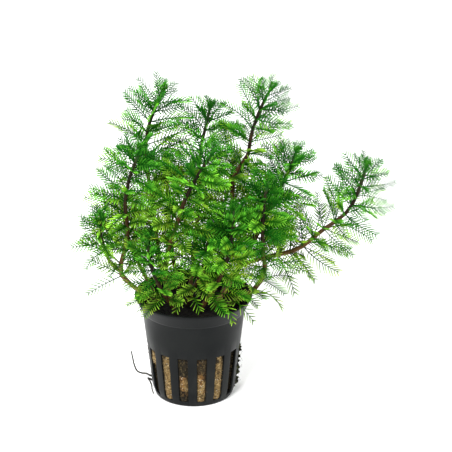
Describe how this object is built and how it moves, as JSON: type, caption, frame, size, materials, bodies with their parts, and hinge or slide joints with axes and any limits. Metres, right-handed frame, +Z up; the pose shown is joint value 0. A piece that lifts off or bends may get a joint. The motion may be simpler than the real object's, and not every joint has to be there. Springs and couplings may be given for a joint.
{
  "type": "potted aquarium stem plant",
  "caption": "Feather-leaved aquarium stem plant grown out of water, planted in a mineral wool plug in a round black slotted net pot with a flared collar.",
  "frame": {"origin": "centre of the pot's base, on the surface it stands on", "axes": "+Z up along the pot's axis, -Y towards the side that the picture shows, +X to that view's right"},
  "size_m": [0.1479, 0.0849, 0.1509],
  "materials": {
    "pot_plastic": "satin",
    "mineral_wool": "matte",
    "shoot": "satin",
    "root": "matte"
  },
  "bodies": {
    "root": {"pot": "pot_plastic", "wool_plug": "mineral_wool", "shoot_left": "shoot", "side_branch_left": "shoot", "shoot_left_back": "shoot", "shoot_back_left_tall": "shoot", "shoot_back_left": "shoot", "shoot_back_centre_tall": "shoot", "shoot_back_centre": "shoot", "shoot_back_right_tall": "shoot", "shoot_back_right": "shoot", "shoot_centre": "shoot", "shoot_front_left": "shoot", "shoot_front_centre": "shoot", "shoot_front_right_inner": "shoot", "shoot_front_right": "shoot", "shoot_right": "shoot", "shoot_far_right": "shoot", "stray_root_long": "root", "stray_root_short": "root"}
  },
  "joints": []
}
